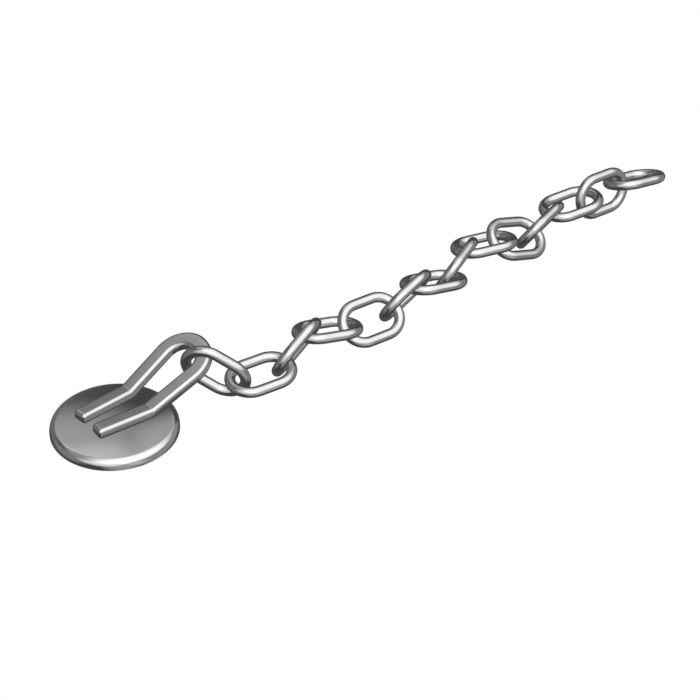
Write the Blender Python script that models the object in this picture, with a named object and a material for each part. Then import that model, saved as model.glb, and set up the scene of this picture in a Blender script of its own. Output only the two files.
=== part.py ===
"""Deck fill cap: a domed disc, a bent eye bar seated on its top and a captive chain.

Lengths are in metres. The underside of the disc lies on z = 0, the disc's centre is the
origin, and the eye bar and the chain run out along +X.
"""
import math

import bmesh
import bpy
import numpy as np
from mathutils import Matrix, Vector

MM = 0.001

# Cap disc: flat underside, rounded rim, shallow domed top.
DISC_DIAMETER = 46.0 * MM
RIM_HEIGHT = 4.0 * MM
RIM_ROUND_WIDTH = 1.8 * MM
RIM_ROUND_HEIGHT = 3.0 * MM
DOME_RISE = 1.6 * MM
UNDERSIDE_CHAMFER = 0.3 * MM
DISC_SEGMENTS = 72
DOME_STEPS = 6
RIM_ROUND_STEPS = 6

# Eye bar: one square-edged bar bent to a hairpin, legs on the dome, arms rising to an arch.
BAR_WIDTH = 5.5 * MM
BAR_DEPTH = 4.5 * MM
BAR_EDGE_RADIUS = 1.1 * MM
BAR_END_RADIUS = 0.4 * MM
LEG_SPACING = 9.3 * MM
LEG_LENGTH = 21.6 * MM
LEG_END_SETBACK = 10.8 * MM
ARM_LENGTH = 20.7 * MM
ARM_RISE = math.radians(24.0)
ARM_BEND_RADIUS = 3.0 * MM
ARCH_RADIUS = 8.6 * MM
LEG_COPE = 0.6 * MM
SEAT_GAP = 0.3 * MM
EDGE_STEPS = 3
LEG_STEPS = 6
BEND_STEPS = 4
ARM_STEPS = 4
ARCH_STEPS = 18

# Chain link: round wire bent to a closed loop with straight sides.
WIRE_DIAMETER = 4.0 * MM
LINK_LENGTH = 27.0 * MM
LINK_WIDTH = 19.0 * MM
LINK_CLEARANCE = 0.3 * MM
WIRE_SIDES = 12
LINK_BEND_STEPS = 10

# The first link hangs on the arch: its heading, slope and roll, then where on the arch
# it hangs and how far above the plane of the arch, all in degrees.
FIRST_LINK_LAY = (-45, -34, -77)
FIRST_LINK_ARCH_ANGLE = -58
FIRST_LINK_ARCH_LIFT = 42

# Each next link: heading, slope and roll in degrees, then how far its near bend hangs
# across and out of the plane of the link before it, in wire radii.
CHAIN_LAY = (
    (-12, 3, 4, -0.05, -0.95),
    (11, 20, -61, 0.35, -0.7),
    (-17, -6, -15, 1.45, 1.35),
    (-8, 1, 37, -0.2, -0.45),
    (8, 12, -60, 0.2, -0.65),
    (-11, -8, -16, 1.2, 1.0),
    (21, 8, -62, 1.1, -0.8),
    (-18, 0, -15, 0.8, 1.5),
    (-9, -15, 30, -0.4, 0.55),
    (13, 6, -57, -1.1, 0.55),
    (-12, 4, -4, -0.2, 0.75),
    (-3, -3, 80, 0.85, -0.8),
    (-7, -7, -21, 0.6, -0.55),
)

# One link lies slack in the one before it, pushed back this near to the link before that.
SLACK_LINK = 11
SLACK_GAP = 1.2 * MM

# Most links swing about the wire they hang on; these turn about their own wire instead.
OWN_WIRE_PIVOTS = (9, 10, 12)

# Fits that follow from the sizes above.
DISC_RADIUS = DISC_DIAMETER / 2
DOME_RADIUS = DISC_RADIUS - RIM_ROUND_WIDTH
BAR_MIDDLE = RIM_HEIGHT + DOME_RISE + SEAT_GAP - LEG_COPE + BAR_DEPTH / 2
BEND_SETBACK = ARM_BEND_RADIUS * math.tan(ARM_RISE / 2)
BEND_START = LEG_LENGTH - BEND_SETBACK
BEND_LENGTH = ARM_BEND_RADIUS * ARM_RISE
ARCH_CENTRE = BEND_START + BEND_LENGTH + ARM_LENGTH - BEND_SETBACK
WIRE_RADIUS = WIRE_DIAMETER / 2
LINK_BEND_RADIUS = LINK_WIDTH / 2 - WIRE_RADIUS
LINK_HALF_LENGTH = LINK_LENGTH / 2 - WIRE_RADIUS
LINK_HALF_STRAIGHT = LINK_HALF_LENGTH - LINK_BEND_RADIUS
SEAT_STEP = LINK_CLEARANCE / 15


def clear_scene():
    """Remove whatever the scene holds."""
    for item in list(bpy.data.objects):
        bpy.data.objects.remove(item, do_unlink=True)


def steel(name, colour, roughness):
    """Polished stainless steel."""
    material = bpy.data.materials.new(name)
    material.use_nodes = True
    shader = material.node_tree.nodes["Principled BSDF"]
    shader.inputs["Base Color"].default_value = (colour, colour, colour, 1.0)
    shader.inputs["Metallic"].default_value = 1.0
    shader.inputs["Roughness"].default_value = roughness
    return material


def add_object(name, mesh, material):
    """Put a mesh into the scene under a plain name."""
    if not mesh.materials:
        mesh.materials.append(material)
    item = bpy.data.objects.new(name, mesh)
    bpy.context.scene.collection.objects.link(item)
    return item


def finish_mesh(name, shape, sharp_angle):
    """Turn a bmesh into a smooth-shaded mesh with outward faces."""
    bmesh.ops.recalc_face_normals(shape, faces=shape.faces)
    mesh = bpy.data.meshes.new(name)
    shape.to_mesh(mesh)
    shape.free()
    for face in mesh.polygons:
        face.use_smooth = True
    mesh.set_sharp_from_angle(angle=sharp_angle)
    return mesh


def dome_height(radius):
    """Height of the disc's top at a distance from its centre."""
    share = min(radius / DOME_RADIUS, 1.0)
    return RIM_HEIGHT + DOME_RISE * (1.0 - share * share)


def disc_profile():
    """Half section of the disc from the top of the dome to the middle of the underside."""
    points = []
    for step in range(DOME_STEPS + 1):
        radius = DOME_RADIUS * step / DOME_STEPS
        points.append((radius, dome_height(radius)))
    for step in range(1, RIM_ROUND_STEPS + 1):
        turn = math.pi / 2 * step / RIM_ROUND_STEPS
        out = DOME_RADIUS + RIM_ROUND_WIDTH * math.sin(turn)
        height = RIM_HEIGHT - RIM_ROUND_HEIGHT * (1.0 - math.cos(turn))
        points.append((out, height))
    points.append((DISC_RADIUS, UNDERSIDE_CHAMFER))
    points.append((DISC_RADIUS - UNDERSIDE_CHAMFER, 0.0))
    points.append((0.0, 0.0))
    return points


def make_disc():
    """Revolve the half section about the vertical axis."""
    shape = bmesh.new()
    corners = [shape.verts.new((radius, 0.0, height)) for radius, height in disc_profile()]
    edges = [shape.edges.new(pair) for pair in zip(corners, corners[1:])]
    bmesh.ops.spin(
        shape,
        geom=corners + edges,
        cent=(0.0, 0.0, 0.0),
        axis=(0.0, 0.0, 1.0),
        angle=2 * math.pi,
        steps=DISC_SEGMENTS,
        use_merge=True,
        use_duplicate=False,
    )
    bmesh.ops.remove_doubles(shape, verts=shape.verts, dist=0.00001)
    return finish_mesh("cap_disc", shape, math.radians(40))


def sweep(shape, rings, closed):
    """Skin a row of rings; an open row gets a face at each end."""
    rows = [[shape.verts.new(point) for point in ring] for ring in rings]
    pairs = list(zip(rows, rows[1:]))
    if closed:
        pairs.append((rows[-1], rows[0]))
    count = len(rows[0])
    for first, second in pairs:
        for side in range(count):
            after = (side + 1) % count
            shape.faces.new((first[side], first[after], second[after], second[side]))
    if not closed:
        shape.faces.new(rows[0])
        shape.faces.new(rows[-1])


def bar_section(inset):
    """Outline of the bar as (across, deep), drawn in by an inset for its rounded ends."""
    radius = BAR_EDGE_RADIUS - inset
    half_width = BAR_WIDTH / 2 - inset
    half_depth = BAR_DEPTH / 2 - inset
    outline = []
    for quarter, (right, up) in enumerate(((1, 1), (-1, 1), (-1, -1), (1, -1))):
        for step in range(EDGE_STEPS + 1):
            turn = math.pi / 2 * (quarter + step / EDGE_STEPS)
            across = right * (half_width - radius) + radius * math.cos(turn)
            deep = up * (half_depth - radius) + radius * math.sin(turn)
            outline.append((across, deep))
    return outline


def splay_angle():
    """Angle at which the legs spread so that they run into the arch."""
    reach = math.hypot(ARCH_CENTRE, LEG_SPACING / 2)
    return math.asin(ARCH_RADIUS / reach) - math.atan2(LEG_SPACING / 2, ARCH_CENTRE)


def fold(along, aside, deep):
    """Carry a point of the flat hairpin onto the bent bar."""
    start = -LEG_END_SETBACK
    if along <= BEND_START:
        return (start + along, aside, BAR_MIDDLE + deep)
    turn = min(along - BEND_START, BEND_LENGTH) / ARM_BEND_RADIUS
    beyond = max(along - BEND_START - BEND_LENGTH, 0.0)
    swing = ARM_BEND_RADIUS - deep
    x = start + BEND_START + swing * math.sin(turn) + beyond * math.cos(turn)
    z = BAR_MIDDLE + ARM_BEND_RADIUS - swing * math.cos(turn) + beyond * math.sin(turn)
    return (x, aside, z)


def cope(point):
    """Keep a point of a leg's underside clear of the dome by the seat gap."""
    x, y, z = point
    radius = math.hypot(x, y)
    if radius > DOME_RADIUS:
        return point
    return (x, y, max(z, dome_height(radius) + SEAT_GAP))


def eye_rings():
    """Rings of the eye bar from the end of one leg round the arch to the other."""
    splay = splay_angle()
    tangent = ARCH_CENTRE - ARCH_RADIUS * math.sin(splay)
    half = []
    for turn in (math.pi / 2, math.pi / 4):
        inset = BAR_END_RADIUS * (1.0 - math.cos(turn))
        half.append((BAR_END_RADIUS * (1.0 - math.sin(turn)), inset))
    for step in range(LEG_STEPS + 1):
        half.append((BAR_END_RADIUS + (BEND_START - BAR_END_RADIUS) * step / LEG_STEPS, 0.0))
    for step in range(1, BEND_STEPS + 1):
        half.append((BEND_START + BEND_LENGTH * step / BEND_STEPS, 0.0))
    bend_end = BEND_START + BEND_LENGTH
    for step in range(1, ARM_STEPS + 1):
        half.append((bend_end + (tangent - bend_end) * step / ARM_STEPS, 0.0))
    line = []
    for along, inset in half:
        line.append((along, -LEG_SPACING / 2 - along * math.tan(splay), -splay, inset))
    for step in range(1, ARCH_STEPS):
        turn = (math.pi + 2 * splay) * step / ARCH_STEPS - splay
        along = ARCH_CENTRE + ARCH_RADIUS * math.sin(turn)
        line.append((along, -ARCH_RADIUS * math.cos(turn), turn, 0.0))
    for along, inset in reversed(half):
        line.append((along, LEG_SPACING / 2 + along * math.tan(splay), math.pi + splay, inset))
    rings = []
    for along, aside, heading, inset in line:
        ring = []
        for across, deep in bar_section(inset):
            side_along = along - across * math.sin(heading)
            side_aside = aside + across * math.cos(heading)
            ring.append(cope(fold(side_along, side_aside, deep)))
        rings.append(ring)
    return rings


def make_eye_bar():
    """Sweep the bar's section round the bent hairpin."""
    shape = bmesh.new()
    sweep(shape, eye_rings(), closed=False)
    return finish_mesh("eye_bar", shape, math.radians(40))


def link_line(bend_steps):
    """Centre line of a link in its own plane: long axis on x, width on y."""
    line = []
    for end in (1, -1):
        for step in range(bend_steps + 1):
            turn = math.pi * step / bend_steps - math.pi / 2
            x = end * (LINK_HALF_STRAIGHT + LINK_BEND_RADIUS * math.cos(turn))
            y = end * LINK_BEND_RADIUS * math.sin(turn)
            line.append((x, y, turn if end == 1 else turn + math.pi))
    return line


def make_link():
    """Sweep the round wire along the link's centre line."""
    rings = []
    for x, y, outward in link_line(LINK_BEND_STEPS):
        ring = []
        for side in range(WIRE_SIDES):
            turn = 2 * math.pi * (side + 0.5) / WIRE_SIDES
            out = WIRE_RADIUS * math.cos(turn)
            up = WIRE_RADIUS * math.sin(turn)
            ring.append((x + out * math.cos(outward), y + out * math.sin(outward), up))
        rings.append(ring)
    shape = bmesh.new()
    sweep(shape, rings, closed=True)
    return finish_mesh("chain_link", shape, math.radians(60))


def link_axes(heading, slope, roll):
    """Long axis, width axis and normal of a link from its angles in degrees."""
    heading = math.radians(heading)
    slope = math.radians(slope)
    roll = math.radians(roll)
    level = math.cos(slope)
    long_axis = Vector((level * math.cos(heading), level * math.sin(heading), math.sin(slope)))
    level_side = Vector((-math.sin(heading), math.cos(heading), 0.0))
    width_axis = math.cos(roll) * level_side + math.sin(roll) * long_axis.cross(level_side)
    return long_axis, width_axis, long_axis.cross(width_axis)


def centre_line(centre, axes):
    """Close-set points on a placed link's centre line."""
    points = [centre + x * axes[0] + y * axes[1] for x, y, _ in link_line(60)]
    for share in range(1, 12):
        x = LINK_HALF_STRAIGHT * (share / 6.0 - 1.0)
        points.append(centre + x * axes[0] + LINK_BEND_RADIUS * axes[1])
        points.append(centre + x * axes[0] - LINK_BEND_RADIUS * axes[1])
    return np.array(points)


def closest_pair(first, second):
    """Smallest distance between two centre lines and the points where it is."""
    distances = np.linalg.norm(first[:, None] - second[None], axis=2)
    row, column = np.unravel_index(distances.argmin(), distances.shape)
    return distances.min(), Vector(first[row]), Vector(second[column])


def first_link_place():
    """Centre of the first link and the point of the arch it hangs on."""
    axes = link_axes(*FIRST_LINK_LAY)
    turn = math.radians(FIRST_LINK_ARCH_ANGLE)
    lift = math.radians(FIRST_LINK_ARCH_LIFT)
    corner = math.hypot(BAR_WIDTH / 2 - BAR_EDGE_RADIUS, BAR_DEPTH / 2 - BAR_EDGE_RADIUS)
    reach = corner + BAR_EDGE_RADIUS + WIRE_RADIUS + LINK_CLEARANCE
    inset = ARCH_RADIUS - reach * math.cos(lift)
    near_bend = fold(ARCH_CENTRE + inset * math.cos(turn), inset * math.sin(turn), reach * math.sin(lift))
    hold = fold(ARCH_CENTRE + ARCH_RADIUS * math.cos(turn), ARCH_RADIUS * math.sin(turn), 0.0)
    return Vector(near_bend) + LINK_HALF_LENGTH * axes[0], axes, Vector(hold)


def next_link_place(before, before_axes, lay):
    """Hang a link in the one before, slid back until their wires clear each other."""
    heading, slope, roll, across, out = lay
    axes = link_axes(heading, slope, roll)
    before_line = centre_line(before, before_axes)
    centre = before + across * WIRE_RADIUS * before_axes[1] + out * WIRE_RADIUS * before_axes[2]
    centre += (LINK_HALF_LENGTH - WIRE_DIAMETER) * before_axes[0] + LINK_HALF_LENGTH * axes[0]
    for _ in range(400):
        if closest_pair(before_line, centre_line(centre, axes))[0] >= WIRE_DIAMETER + LINK_CLEARANCE:
            break
        centre -= SEAT_STEP * before_axes[0]
    return centre, axes


def slack_link_place(stop, stop_axes, before, before_axes, lay):
    """Push a link back from its taut place, then settle it on the wire of the one before."""
    centre, axes = next_link_place(before, before_axes, lay)
    stop_line = centre_line(stop, stop_axes)
    before_line = centre_line(before, before_axes)
    for _ in range(1000):
        if closest_pair(stop_line, centre_line(centre, axes))[0] <= WIRE_DIAMETER + SLACK_GAP:
            break
        centre -= SEAT_STEP * before_axes[0]
    for _ in range(1000):
        if closest_pair(before_line, centre_line(centre, axes))[0] <= WIRE_DIAMETER + LINK_CLEARANCE:
            break
        centre += SEAT_STEP * before_axes[2]
    return centre, axes


def place_chain():
    """Centres, axes and hanging points of all the links in order."""
    places = [first_link_place()]
    for number, lay in enumerate(CHAIN_LAY, start=2):
        before, before_axes, _ = places[-1]
        if number == SLACK_LINK:
            stop, stop_axes, _ = places[-2]
            centre, axes = slack_link_place(stop, stop_axes, before, before_axes, lay)
        else:
            centre, axes = next_link_place(before, before_axes, lay)
        before_line = centre_line(before, before_axes)
        _, hold, own = closest_pair(before_line, centre_line(centre, axes))
        places.append((centre, axes, own if number in OWN_WIRE_PIVOTS else hold))
    return places


def add_link(number, mesh, material, place):
    """One link under a pivot at the point where it hangs."""
    centre, axes, hold = place
    name = "chain_link_%02d" % number
    pivot = bpy.data.objects.new(name + "_pivot", None)
    pivot.location = hold
    bpy.context.scene.collection.objects.link(pivot)
    link = add_object(name, mesh, material)
    link.parent = pivot
    turned = Matrix((axes[0], axes[1], axes[2])).transposed().to_4x4()
    link.matrix_local = Matrix.Translation(centre - hold) @ turned
    return link


def main():
    """Build the cap, its eye and its chain."""
    clear_scene()
    add_object("cap_disc", make_disc(), steel("polished_steel_disc", 0.60, 0.22))
    add_object("eye_bar", make_eye_bar(), steel("polished_steel_bar", 0.62, 0.18))
    link_mesh = make_link()
    link_steel = steel("polished_steel_link", 0.64, 0.15)
    for number, place in enumerate(place_chain(), start=1):
        add_link(number, link_mesh, link_steel, place)


main()
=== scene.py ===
"""Looks of the deck fill cap: polished steel disc, bent eye bar and chain on a white ground.

Lengths are in metres. The disc and the eye bar stand where their solids are, with finer edges
and a slightly different bar section, and each chain link takes its place from its own solid.
"""
import math

import bmesh
import bpy
import numpy as np
from mathutils import Matrix, Vector


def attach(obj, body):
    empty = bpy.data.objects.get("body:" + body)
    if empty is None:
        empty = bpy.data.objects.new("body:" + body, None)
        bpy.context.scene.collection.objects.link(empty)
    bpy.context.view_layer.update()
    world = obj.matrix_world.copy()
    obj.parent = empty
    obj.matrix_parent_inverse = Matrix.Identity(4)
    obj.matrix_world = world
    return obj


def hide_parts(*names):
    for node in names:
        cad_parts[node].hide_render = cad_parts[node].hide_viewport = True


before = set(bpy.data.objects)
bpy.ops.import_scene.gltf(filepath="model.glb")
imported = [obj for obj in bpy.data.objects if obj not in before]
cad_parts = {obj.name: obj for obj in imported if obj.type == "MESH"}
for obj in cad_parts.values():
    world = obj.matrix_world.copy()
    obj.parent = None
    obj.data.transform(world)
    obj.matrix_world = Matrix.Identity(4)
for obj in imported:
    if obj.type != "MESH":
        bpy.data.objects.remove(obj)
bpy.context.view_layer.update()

MM = 0.001

# Cap disc: a shallow dome, its edge turned down to a fine crease, and a bead beyond.
DISC_RADIUS = 23.0 * MM
RIM_HEIGHT = 4.0 * MM
DOME_RISE = 1.6 * MM
DOME_RADIUS = 21.2 * MM
DOME_EDGE_START = 20.3 * MM
CREASE_RADIUS = 21.95 * MM
CREASE_TURN = math.radians(35.0)
BEAD_WIDTH = 1.4 * MM
BEAD_FOOT = 1.0 * MM
UNDERSIDE_CHAMFER = 0.3 * MM
DISC_SEGMENTS = 192
DOME_STEPS = 24
DOME_EDGE_STEPS = 8
BEAD_STEPS = 20
DISC_SHARP_ANGLE = math.radians(12.0)

# Eye bar: the hairpin lies flat along the legs and folds up at the arms. The far leg leans
# outward by a share of the distance from the bend.
BAR_WIDTH = 6.0 * MM
BAR_DEPTH = 4.1 * MM
BAR_EDGE_RADIUS = 1.4 * MM
BAR_END_RADIUS = 1.3 * MM
LEG_SPACING = 9.3 * MM
LEG_LENGTH = 21.6 * MM
LEG_END_SETBACK = 10.8 * MM
ARM_LENGTH = 20.7 * MM
ARM_RISE = math.radians(24.0)
ARM_BEND_RADIUS = 3.0 * MM
ARCH_RADIUS = 8.8 * MM
LEG_COPE = 0.6 * MM
SEAT_GAP = 0.3 * MM
FAR_LEG_LEAN = 0.06
EDGE_STEPS = 8
END_STEPS = 7
LEG_STEPS = 12
BEND_STEPS = 12
ARM_STEPS = 8
ARCH_STEPS = 56
BAR_SHARP_ANGLE = math.radians(40.0)
BAR_MIDDLE = RIM_HEIGHT + DOME_RISE + SEAT_GAP - LEG_COPE + BAR_DEPTH / 2
BEND_SETBACK = ARM_BEND_RADIUS * math.tan(ARM_RISE / 2)
BEND_START = LEG_LENGTH - BEND_SETBACK
BEND_LENGTH = ARM_BEND_RADIUS * ARM_RISE
ARCH_CENTRE = BEND_START + BEND_LENGTH + ARM_LENGTH - BEND_SETBACK

# Chain link: round wire bent to a closed loop with straight sides.
WIRE_RADIUS = 2.0 * MM
LINK_BEND_RADIUS = 7.5 * MM
LINK_HALF_STRAIGHT = 4.0 * MM
WIRE_SIDES = 28
LINK_BEND_STEPS = 26
LINK_STRAIGHT_STEPS = 4
LINK_COUNT = 14
LINK_SHARP_ANGLE = math.radians(60.0)
PLACE_DECIMALS = 6

# Steel of each piece: tone, roughness, and the scale of its clouds and scratches. The ends of
# the clouds' colour ramp have a position, a share of the tone, and the share that blue takes.
DISC_STEEL = (0.74, 0.1, 0.5)
BAR_STEEL = (0.64, 0.1, 1.0)
WIRE_STEEL = (0.64, 0.08, 1.0)
CLOUD_SCALE = 120.0
CLOUD_DETAIL = 4.0
CLOUD_DARK = (0.3, 0.96, 0.965)
CLOUD_LIGHT = (0.7, 1.03, 1.03)
POLISH_RANGE = (0.85, 1.15)
SCRATCH_SCALE = (300.0, 4000.0, 4000.0)
SCRATCH_DETAIL = 2.0
SCRATCH_STRENGTH = 0.04
SCRATCH_DEPTH = 0.00002

# The ground lies far enough below for the whole chain to swing free.
GROUND_DROP = 0.3
GROUND_HALF_SIZE = 20.0
WHITE = (1.0, 1.0, 1.0, 1.0)

# The photograph's viewpoint: lens and sensor in millimetres, angles in degrees.
CAMERA_LENS = 111.6
CAMERA_SENSOR = 36.0
CAMERA_CLIP = (0.01, 100.0)
CAMERA_PLACE = (-0.3188, -0.5090, 0.4834)
CAMERA_TILT = 53.0
CAMERA_BEARING = 40.0

# Studio: a dim room with soft lights. Each has its bearing from the camera's own and its
# height, in degrees, the cosines where its glow starts and is full, and its strength.
ROOM_GLOW = 0.07
SOFT_LIGHTS = (
    (128, 58, 0.49, 0.92, 1.09),
    (-166, 30, 0.63, 1.0, 0.93),
    (-26, 48, 0.91, 1.0, 0.35),
    (159, -19, 0.74, 1.0, 0.33),
    (-102, 11, 0.66, 0.89, 0.17),
    (100, 18, 0.44, 0.53, 0.23),
    (-40, 13, 0.83, 1.0, 0.11),
    (-7, -45, 0.39, 0.61, 0.03),
    (-61, 78, 0.8, 0.89, 0.26),
    (24, 45, 0.94, 0.98, 0.34),
)


def finish_mesh(name, shape, sharp_angle):
    """Turn a bmesh into a smooth-shaded mesh with outward faces."""
    bmesh.ops.recalc_face_normals(shape, faces=shape.faces)
    mesh = bpy.data.meshes.new(name)
    shape.to_mesh(mesh)
    shape.free()
    for face in mesh.polygons:
        face.use_smooth = True
    mesh.set_sharp_from_angle(angle=sharp_angle)
    return mesh


def sweep(shape, rings, closed):
    """Skin a row of rings; an open row gets a face at each end."""
    rows = [[shape.verts.new(point) for point in ring] for ring in rings]
    pairs = list(zip(rows, rows[1:]))
    if closed:
        pairs.append((rows[-1], rows[0]))
    count = len(rows[0])
    for first, second in pairs:
        for side in range(count):
            after = (side + 1) % count
            shape.faces.new((first[side], first[after], second[after], second[side]))
    if not closed:
        shape.faces.new(rows[0])
        shape.faces.new(rows[-1])


def dome_height(radius):
    """Height of the disc's top at a distance from its centre."""
    share = min(radius / DOME_RADIUS, 1.0)
    return RIM_HEIGHT + DOME_RISE * (1.0 - share * share)


def disc_profile():
    """Half section of the disc: dome, its edge turned down to a crease, round bead, underside."""
    points = []
    for step in range(DOME_STEPS + 1):
        radius = DOME_EDGE_START * step / DOME_STEPS
        points.append((radius, dome_height(radius)))
    edge_height = points[-1][1]
    first_turn = math.atan(2 * DOME_RISE * DOME_EDGE_START / DOME_RADIUS**2)
    edge_reach = math.sin(CREASE_TURN) - math.sin(first_turn)
    edge_round = (CREASE_RADIUS - DOME_EDGE_START) / edge_reach
    for step in range(1, DOME_EDGE_STEPS + 1):
        turn = first_turn + (CREASE_TURN - first_turn) * step / DOME_EDGE_STEPS
        radius = DOME_EDGE_START + edge_round * (math.sin(turn) - math.sin(first_turn))
        height = edge_height - edge_round * (math.cos(first_turn) - math.cos(turn))
        points.append((radius, height))
    crease_height = points[-1][1]
    bead_middle = DISC_RADIUS - BEAD_WIDTH
    start = math.asin((CREASE_RADIUS - bead_middle) / BEAD_WIDTH)
    bead_height = (crease_height - BEAD_FOOT) / math.cos(start)
    for step in range(1, BEAD_STEPS + 1):
        turn = start + (math.pi / 2 - start) * step / BEAD_STEPS
        radius = bead_middle + BEAD_WIDTH * math.sin(turn)
        points.append((radius, BEAD_FOOT + bead_height * math.cos(turn)))
    points.append((DISC_RADIUS, UNDERSIDE_CHAMFER))
    points.append((DISC_RADIUS - UNDERSIDE_CHAMFER, 0.0))
    points.append((0.0, 0.0))
    return points


def make_disc():
    """Revolve the half section about the vertical axis, in a fixed order."""
    profile = disc_profile()
    shape = bmesh.new()
    top = shape.verts.new((0.0, 0.0, profile[0][1]))
    bottom = shape.verts.new((0.0, 0.0, profile[-1][1]))
    rings = []
    for radius, height in profile[1:-1]:
        ring = []
        for segment in range(DISC_SEGMENTS):
            turn = 2 * math.pi * segment / DISC_SEGMENTS
            corner = (radius * math.cos(turn), radius * math.sin(turn), height)
            ring.append(shape.verts.new(corner))
        rings.append(ring)
    for segment in range(DISC_SEGMENTS):
        after = (segment + 1) % DISC_SEGMENTS
        shape.faces.new((top, rings[0][segment], rings[0][after]))
        for inner, outer in zip(rings, rings[1:]):
            shape.faces.new((inner[segment], outer[segment], outer[after], inner[after]))
        shape.faces.new((bottom, rings[-1][after], rings[-1][segment]))
    return finish_mesh("cap_disc_turned", shape, DISC_SHARP_ANGLE)


def bar_section(inset):
    """Outline of the bar as (across, deep), drawn in by an inset for its rounded ends."""
    radius = BAR_EDGE_RADIUS - inset
    half_width = BAR_WIDTH / 2 - inset
    half_depth = BAR_DEPTH / 2 - inset
    outline = []
    for quarter, (right, up) in enumerate(((1, 1), (-1, 1), (-1, -1), (1, -1))):
        for step in range(EDGE_STEPS + 1):
            turn = math.pi / 2 * (quarter + step / EDGE_STEPS)
            across = right * (half_width - radius) + radius * math.cos(turn)
            deep = up * (half_depth - radius) + radius * math.sin(turn)
            outline.append((across, deep))
    return outline


def splay_angle():
    """Angle at which the legs spread so that they run into the arch."""
    reach = math.hypot(ARCH_CENTRE, LEG_SPACING / 2)
    return math.asin(ARCH_RADIUS / reach) - math.atan2(LEG_SPACING / 2, ARCH_CENTRE)


def fold(along, aside, deep):
    """Carry a point of the flat hairpin onto the bent bar."""
    start = -LEG_END_SETBACK
    if along <= BEND_START:
        return (start + along, aside, BAR_MIDDLE + deep)
    turn = min(along - BEND_START, BEND_LENGTH) / ARM_BEND_RADIUS
    beyond = max(along - BEND_START - BEND_LENGTH, 0.0)
    swing = ARM_BEND_RADIUS - deep
    x = start + BEND_START + swing * math.sin(turn) + beyond * math.cos(turn)
    z = BAR_MIDDLE + ARM_BEND_RADIUS - swing * math.cos(turn) + beyond * math.sin(turn)
    return (x, aside, z)


def cope(point):
    """Keep a point of a leg's underside clear of the dome by the seat gap."""
    x, y, z = point
    radius = math.hypot(x, y)
    if radius > DOME_RADIUS:
        return point
    return (x, y, max(z, dome_height(radius) + SEAT_GAP))


def eye_rings():
    """Rings of the eye bar from the end of one leg round the arch to the other."""
    splay = splay_angle()
    tangent = ARCH_CENTRE - ARCH_RADIUS * math.sin(splay)
    half = []
    for step in range(END_STEPS):
        turn = math.pi / 2 * (1.0 - step / END_STEPS)
        inset = BAR_END_RADIUS * (1.0 - math.cos(turn))
        half.append((BAR_END_RADIUS * (1.0 - math.sin(turn)), inset))
    for step in range(LEG_STEPS + 1):
        half.append((BAR_END_RADIUS + (BEND_START - BAR_END_RADIUS) * step / LEG_STEPS, 0.0))
    for step in range(1, BEND_STEPS + 1):
        half.append((BEND_START + BEND_LENGTH * step / BEND_STEPS, 0.0))
    bend_end = BEND_START + BEND_LENGTH
    for step in range(1, ARM_STEPS + 1):
        half.append((bend_end + (tangent - bend_end) * step / ARM_STEPS, 0.0))
    line = []
    for along, inset in half:
        line.append((along, -LEG_SPACING / 2 - along * math.tan(splay), -splay, inset))
    for step in range(1, ARCH_STEPS):
        turn = (math.pi + 2 * splay) * step / ARCH_STEPS - splay
        along = ARCH_CENTRE + ARCH_RADIUS * math.sin(turn)
        line.append((along, -ARCH_RADIUS * math.cos(turn), turn, 0.0))
    for along, inset in reversed(half):
        aside = LEG_SPACING / 2 + along * math.tan(splay)
        aside += FAR_LEG_LEAN * max(LEG_LENGTH - along, 0.0)
        line.append((along, aside, math.pi + splay, inset))
    rings = []
    for along, aside, heading, inset in line:
        ring = []
        for across, deep in bar_section(inset):
            side_along = along - across * math.sin(heading)
            side_aside = aside + across * math.cos(heading)
            ring.append(cope(fold(side_along, side_aside, deep)))
        rings.append(ring)
    return rings


def make_eye_bar():
    """Sweep the bar's section round the bent hairpin."""
    shape = bmesh.new()
    sweep(shape, eye_rings(), closed=False)
    return finish_mesh("eye_bar_bent", shape, BAR_SHARP_ANGLE)


def link_line():
    """Centre line of a link in its own plane, with the direction that points out of the loop."""
    line = []
    for end in (1, -1):
        for step in range(LINK_BEND_STEPS + 1):
            turn = math.pi * step / LINK_BEND_STEPS - math.pi / 2
            x = end * (LINK_HALF_STRAIGHT + LINK_BEND_RADIUS * math.cos(turn))
            y = end * LINK_BEND_RADIUS * math.sin(turn)
            line.append((x, y, turn if end == 1 else turn + math.pi))
        for step in range(1, LINK_STRAIGHT_STEPS):
            x = end * LINK_HALF_STRAIGHT * (1.0 - 2.0 * step / LINK_STRAIGHT_STEPS)
            line.append((x, end * LINK_BEND_RADIUS, end * math.pi / 2))
    return line


def make_link():
    """Sweep the round wire along the link's centre line."""
    rings = []
    for x, y, outward in link_line():
        ring = []
        for side in range(WIRE_SIDES):
            turn = 2 * math.pi * side / WIRE_SIDES
            out = WIRE_RADIUS * math.cos(turn)
            up = WIRE_RADIUS * math.sin(turn)
            ring.append((x + out * math.cos(outward), y + out * math.sin(outward), up))
        rings.append(ring)
    shape = bmesh.new()
    sweep(shape, rings, closed=True)
    return finish_mesh("chain_link_wire", shape, LINK_SHARP_ANGLE)


def link_place(node):
    """Where a link lies: the middle and the long, width and normal axes of its solid."""
    corners = np.array([v.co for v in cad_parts[node].data.vertices])
    corners = np.unique(np.round(corners, PLACE_DECIMALS), axis=0)
    middle = corners.mean(axis=0)
    _, axes = np.linalg.eigh(np.cov((corners - middle).T))
    long_axis = Vector(axes[:, 2])
    width_axis = Vector(axes[:, 1])
    if long_axis.x < 0:
        long_axis.negate()
    normal = long_axis.cross(width_axis)
    if normal.z < 0:
        width_axis.negate()
        normal.negate()
    turned = Matrix((long_axis, width_axis, normal)).transposed().to_4x4()
    return Matrix.Translation(middle) @ turned


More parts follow.
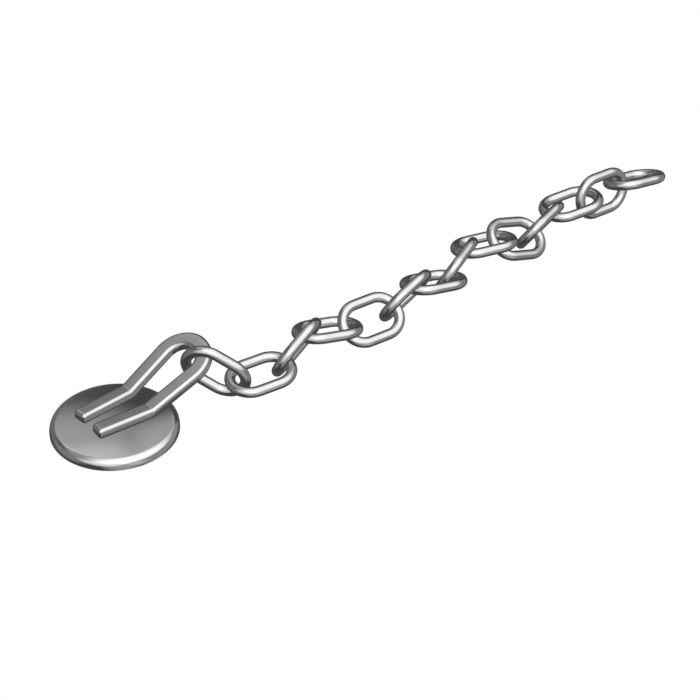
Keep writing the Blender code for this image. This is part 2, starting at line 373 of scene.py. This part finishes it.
def set_stop(stop, tone, cloud):
    """Set one end of the clouds' colour ramp."""
    position, share, blue_share = cloud
    stop.position = position
    stop.color = (tone * share, tone * share, tone * blue_share, 1.0)


def steel(name, look):
    """Polished stainless steel: faint cloudy tone, uneven polish and hair-fine scratches."""
    tone, roughness, scale = look
    material = bpy.data.materials.new(name)
    material.use_nodes = True
    nodes = material.node_tree.nodes
    links = material.node_tree.links
    shader = nodes["Principled BSDF"]
    shader.inputs["Metallic"].default_value = 1.0
    place = nodes.new("ShaderNodeTexCoord")
    cloud = nodes.new("ShaderNodeTexNoise")
    cloud.inputs["Scale"].default_value = CLOUD_SCALE * scale
    cloud.inputs["Detail"].default_value = CLOUD_DETAIL
    links.new(place.outputs["Object"], cloud.inputs["Vector"])
    tint = nodes.new("ShaderNodeValToRGB")
    set_stop(tint.color_ramp.elements[0], tone, CLOUD_DARK)
    set_stop(tint.color_ramp.elements[1], tone, CLOUD_LIGHT)
    links.new(cloud.outputs["Fac"], tint.inputs["Fac"])
    links.new(tint.outputs["Color"], shader.inputs["Base Color"])
    polish = nodes.new("ShaderNodeMapRange")
    polish.inputs["To Min"].default_value = roughness * POLISH_RANGE[0]
    polish.inputs["To Max"].default_value = roughness * POLISH_RANGE[1]
    links.new(cloud.outputs["Fac"], polish.inputs["Value"])
    links.new(polish.outputs["Result"], shader.inputs["Roughness"])
    stretch = nodes.new("ShaderNodeMapping")
    stretch.inputs["Scale"].default_value = [part * scale for part in SCRATCH_SCALE]
    links.new(place.outputs["Object"], stretch.inputs["Vector"])
    scratch = nodes.new("ShaderNodeTexNoise")
    scratch.inputs["Scale"].default_value = 1.0
    scratch.inputs["Detail"].default_value = SCRATCH_DETAIL
    links.new(stretch.outputs["Vector"], scratch.inputs["Vector"])
    bump = nodes.new("ShaderNodeBump")
    bump.inputs["Strength"].default_value = SCRATCH_STRENGTH
    bump.inputs["Distance"].default_value = SCRATCH_DEPTH
    links.new(scratch.outputs["Fac"], bump.inputs["Height"])
    links.new(bump.outputs["Normal"], shader.inputs["Normal"])
    return material


def add_piece(name, mesh, material, node):
    """A finer piece that stands for one solid, and isn't mirrored in its neighbours."""
    if not mesh.materials:
        mesh.materials.append(material)
    piece = bpy.data.objects.new(name, mesh)
    bpy.context.scene.collection.objects.link(piece)
    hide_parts(node)
    piece.visible_glossy = False
    even = piece.modifiers.new("even_shading", "WEIGHTED_NORMAL")
    even.keep_sharp = True
    return piece


def make_object():
    """Disc, eye bar and links in the places of their solids."""
    disc_steel = steel("steel_disc", DISC_STEEL)
    disc = add_piece("cap_disc_turned", make_disc(), disc_steel, "cap_disc")
    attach(disc, "cap")
    bar_steel = steel("steel_bar", BAR_STEEL)
    bar = add_piece("eye_bar_bent", make_eye_bar(), bar_steel, "eye_bar")
    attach(bar, "cap")
    wire = make_link()
    wire_steel = steel("steel_wire", WIRE_STEEL)
    for number in range(1, LINK_COUNT + 1):
        node = "chain_link_%02d" % number
        link = add_piece(node + "_wire", wire, wire_steel, node)
        link.matrix_world = link_place(node)
        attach(link, "link_%02d" % number)


def make_floor():
    """Plain white ground under the part."""
    shape = bmesh.new()
    bmesh.ops.create_grid(shape, x_segments=1, y_segments=1, size=GROUND_HALF_SIZE)
    mesh = bpy.data.meshes.new("ground")
    shape.to_mesh(mesh)
    shape.free()
    floor = bpy.data.objects.new("ground", mesh)
    floor.location = (0.0, 0.0, -GROUND_DROP)
    bpy.context.scene.collection.objects.link(floor)
    material = bpy.data.materials.new("white_ground")
    material.use_nodes = True
    nodes = material.node_tree.nodes
    nodes.remove(nodes["Principled BSDF"])
    glow = nodes.new("ShaderNodeEmission")
    glow.inputs["Color"].default_value = WHITE
    surface = nodes["Material Output"].inputs["Surface"]
    material.node_tree.links.new(glow.outputs["Emission"], surface)
    mesh.materials.append(material)
    floor.visible_glossy = False
    floor.visible_diffuse = False


def soft_light(nodes, links, place, light):
    """Brightness of one soft light as a socket: a smooth round glow about its direction."""
    bearing, height, start, full, strength = light
    turn = math.radians(CAMERA_BEARING + bearing)
    lift = math.radians(height)
    toward = nodes.new("ShaderNodeVectorMath")
    toward.operation = "DOT_PRODUCT"
    toward.inputs[1].default_value = (
        math.cos(lift) * math.sin(turn),
        math.cos(lift) * math.cos(turn),
        math.sin(lift),
    )
    links.new(place.outputs["Generated"], toward.inputs[0])
    glow = nodes.new("ShaderNodeMapRange")
    glow.interpolation_type = "SMOOTHSTEP"
    glow.inputs["From Min"].default_value = start
    glow.inputs["From Max"].default_value = full
    glow.inputs["To Max"].default_value = strength
    links.new(toward.outputs["Value"], glow.inputs["Value"])
    return glow.outputs["Result"]


def make_world():
    """White to the eye, a soft studio to the metal."""
    world = bpy.data.worlds.new("studio")
    bpy.context.scene.world = world
    world.use_nodes = True
    nodes = world.node_tree.nodes
    links = world.node_tree.links
    place = nodes.new("ShaderNodeTexCoord")
    total = None
    for light in SOFT_LIGHTS:
        add = nodes.new("ShaderNodeMath")
        add.operation = "ADD"
        add.inputs[1].default_value = ROOM_GLOW
        if total is not None:
            links.new(total, add.inputs[1])
        links.new(soft_light(nodes, links, place, light), add.inputs[0])
        total = add.outputs["Value"]
    studio = nodes["Background"]
    links.new(total, studio.inputs["Color"])
    white = nodes.new("ShaderNodeBackground")
    white.inputs["Color"].default_value = WHITE
    path = nodes.new("ShaderNodeLightPath")
    mix = nodes.new("ShaderNodeMixShader")
    links.new(path.outputs["Is Camera Ray"], mix.inputs["Fac"])
    links.new(studio.outputs["Background"], mix.inputs[1])
    links.new(white.outputs["Background"], mix.inputs[2])
    links.new(mix.outputs["Shader"], nodes["World Output"].inputs["Surface"])


def make_camera():
    """The photograph's viewpoint."""
    lens = bpy.data.cameras.new("viewpoint")
    lens.lens = CAMERA_LENS
    lens.sensor_width = CAMERA_SENSOR
    lens.clip_start, lens.clip_end = CAMERA_CLIP
    camera = bpy.data.objects.new("viewpoint", lens)
    camera.location = CAMERA_PLACE
    camera.rotation_euler = (math.radians(CAMERA_TILT), 0.0, math.radians(-CAMERA_BEARING))
    bpy.context.scene.collection.objects.link(camera)
    bpy.context.scene.camera = camera


make_object()
make_floor()
make_world()
make_camera()
bpy.context.scene.view_settings.view_transform = "Standard"
